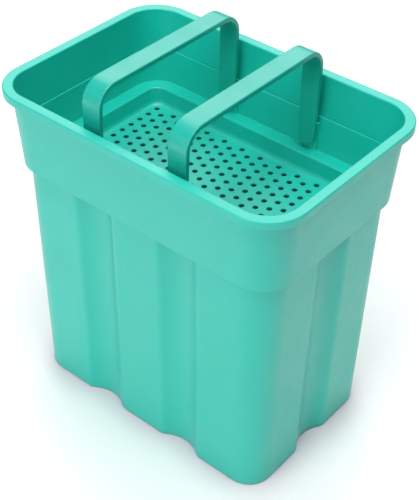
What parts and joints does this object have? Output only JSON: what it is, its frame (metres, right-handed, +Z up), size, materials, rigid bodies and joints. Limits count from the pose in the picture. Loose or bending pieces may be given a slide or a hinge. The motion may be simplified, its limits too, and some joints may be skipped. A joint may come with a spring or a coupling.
{
  "type": "cleaning caddy",
  "caption": "Tall fluted cleaning pail with a lift-out perforated drainer tray and hinged strap handles that meet for carrying.",
  "frame": {"origin": "middle of the flat base, on the surface that the pail stands on", "axes": "+X along the pail's long side, +Y across it in line with the grips, +Z up"},
  "size_m": [0.3274, 0.225, 0.3753],
  "materials": {
    "pail_plastic": "satin moulded polypropylene",
    "tray_plastic": "satin moulded polypropylene",
    "handle_plastic": "satin moulded polypropylene"
  },
  "bodies": {
    "pail": {"bucket": "pail_plastic"},
    "tray": {"insert": "tray_plastic"},
    "left_handle": {"handle_left": "handle_plastic"},
    "right_handle": {"handle_right": "handle_plastic"}
  },
  "joints": [
    {"name": "tray_lift", "type": "slide", "parent": "pail", "child": "tray", "axis": [0, 0, 1], "range_m": [0, 0.11]},
    {"name": "left_handle_fold", "type": "hinge", "parent": "tray", "child": "left_handle", "pos_m": [-0.048, 0, 0.2783], "axis": [0, -1, 0], "range_deg": [-22.5, 92]},
    {"name": "right_handle_fold", "type": "hinge", "parent": "tray", "child": "right_handle", "pos_m": [0.048, 0, 0.2783], "axis": [0, 1, 0], "range_deg": [-22.5, 92]}
  ]
}
